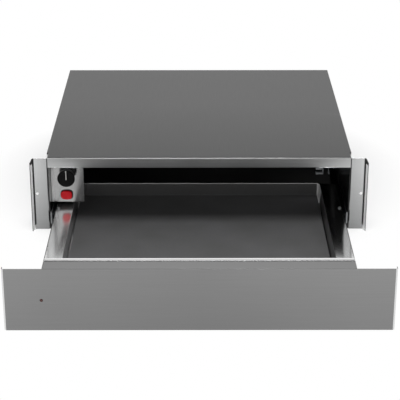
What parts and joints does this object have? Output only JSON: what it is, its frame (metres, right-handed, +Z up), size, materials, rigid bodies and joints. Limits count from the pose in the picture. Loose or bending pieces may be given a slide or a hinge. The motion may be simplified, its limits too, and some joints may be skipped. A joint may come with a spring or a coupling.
{
  "type": "built-in warming drawer",
  "caption": "Handle-less built-in warming drawer, pulled out of its steel casing, with a shallow well, an anti-slip mat, a dial, a red switch and a warm-air unit.",
  "frame": {"origin": "middle of the underside of the casing", "axes": "+Y from the drawer front to the back of the casing, +X to the right seen from the front, +Z up"},
  "size_m": [0.595, 0.8936, 0.136],
  "materials": {
    "brushed_steel": "brushed stainless steel, fine horizontal grain",
    "polished_steel": "polished stainless steel, near mirror",
    "cover_steel": "dull grey coated sheet steel",
    "black_enamel": "black heat-proof enamel on sheet steel",
    "zinc_steel": "zinc-plated steel",
    "dark_zinc": "dark passivated zinc, lightly greased",
    "mat_rubber": "matt anti-slip mat with a fine woven texture",
    "black_plastic": "black moulded plastic",
    "bezel_plastic": "glossy black moulded plastic",
    "red_lens": "translucent red moulded plastic",
    "amber_lens": "amber acrylic light guide",
    "grey_plastic": "grey moulded plastic",
    "heater_sheath": "heat-tinted steel sheath",
    "copper": "drawn copper",
    "loom_sleeve": "black braided sleeve"
  },
  "bodies": {
    "casing": {"casing_tray": "cover_steel", "casing_cover": "cover_steel", "rear_wall": "cover_steel", "front_bar": "brushed_steel", "right_mounting_flange": "brushed_steel", "left_mounting_flange": "brushed_steel", "left_lower_flange_screw": "zinc_steel", "left_upper_flange_screw": "zinc_steel", "right_lower_flange_screw": "zinc_steel", "right_upper_flange_screw": "zinc_steel", "control_plate": "polished_steel", "thermostat_body": "grey_plastic", "switch_housing": "bezel_plastic", "switch_pivot_pin": "zinc_steel", "left_slide_casing_rail": "dark_zinc", "right_slide_casing_rail": "dark_zinc", "left_slide_bracket": "zinc_steel", "right_slide_bracket": "zinc_steel", "right_inner_floor_clip": "zinc_steel", "left_inner_floor_clip": "zinc_steel", "right_outer_floor_clip": "zinc_steel", "left_outer_floor_clip": "zinc_steel", "latch_body": "grey_plastic", "heater_tray": "black_enamel", "fan_guard": "black_enamel", "fan_motor": "grey_plastic", "ring_element": "heater_sheath", "left_element_support": "zinc_steel", "right_element_support": "zinc_steel", "safety_cutout": "bezel_plastic", "inlet_gland": "bezel_plastic", "terminal_block": "grey_plastic", "terminal_bracket": "zinc_steel", "sensor_bulb": "copper", "capillary_tube": "copper", "bulb_clip": "zinc_steel", "wiring_loom": "loom_sleeve"},
    "drawer": {"front_panel": "brushed_steel", "front_liner": "polished_steel", "indicator_light_guide": "amber_lens", "drawer_tub": "polished_steel", "right_runner_carrier": "zinc_steel", "left_runner_carrier": "zinc_steel", "latch_striker": "zinc_steel", "left_ledge_screw": "zinc_steel", "right_ledge_screw": "zinc_steel", "left_front_screw": "zinc_steel", "right_front_screw": "zinc_steel", "anti_slip_mat": "mat_rubber", "left_slide_drawer_rail": "zinc_steel", "right_slide_drawer_rail": "zinc_steel"},
    "left_middle_slide": {"left_slide_middle_rail": "dark_zinc"},
    "right_middle_slide": {"right_slide_middle_rail": "dark_zinc"},
    "knob": {"control_knob": "black_plastic", "thermostat_shaft": "zinc_steel"},
    "rocker": {"switch_rocker": "red_lens"},
    "fan": {"fan_impeller": "zinc_steel", "fan_shaft": "zinc_steel"},
    "plunger": {"latch_plunger": "bezel_plastic"}
  },
  "joints": [
    {"name": "drawer_slide", "type": "slide", "parent": "casing", "child": "drawer", "axis": [0, 1, 0], "range_m": [0, 0.352]},
    {"name": "left_middle_slide_joint", "type": "slide", "parent": "casing", "child": "left_middle_slide", "axis": [0, 1, 0], "range_m": [0, 0.176]},
    {"name": "right_middle_slide_joint", "type": "slide", "parent": "casing", "child": "right_middle_slide", "axis": [0, 1, 0], "range_m": [0, 0.176]},
    {"name": "knob_turn", "type": "hinge", "parent": "casing", "child": "knob", "pos_m": [-0.2348, -0.234, 0.0909], "axis": [0, 1, 0], "range_deg": [0, 270]},
    {"name": "switch_rock", "type": "hinge", "parent": "casing", "child": "rocker", "pos_m": [-0.2364, -0.217, 0.0528], "axis": [0, 0, 1], "range_deg": [0, 10]},
    {"name": "fan_spin", "type": "hinge", "parent": "casing", "child": "fan", "pos_m": [0, 0.161, 0.11], "axis": [0, 0, 1], "continuous": true},
    {"name": "latch_push", "type": "slide", "parent": "casing", "child": "plunger", "axis": [0, 1, 0], "range_m": [0, 0.006], "stiffness_N_per_m": 300, "springref_m": -0.004}
  ],
  "couplings": [
    {"joint": "left_middle_slide_joint", "follows": "drawer_slide", "ratio": 0.5},
    {"joint": "right_middle_slide_joint", "follows": "drawer_slide", "ratio": 0.5}
  ]
}
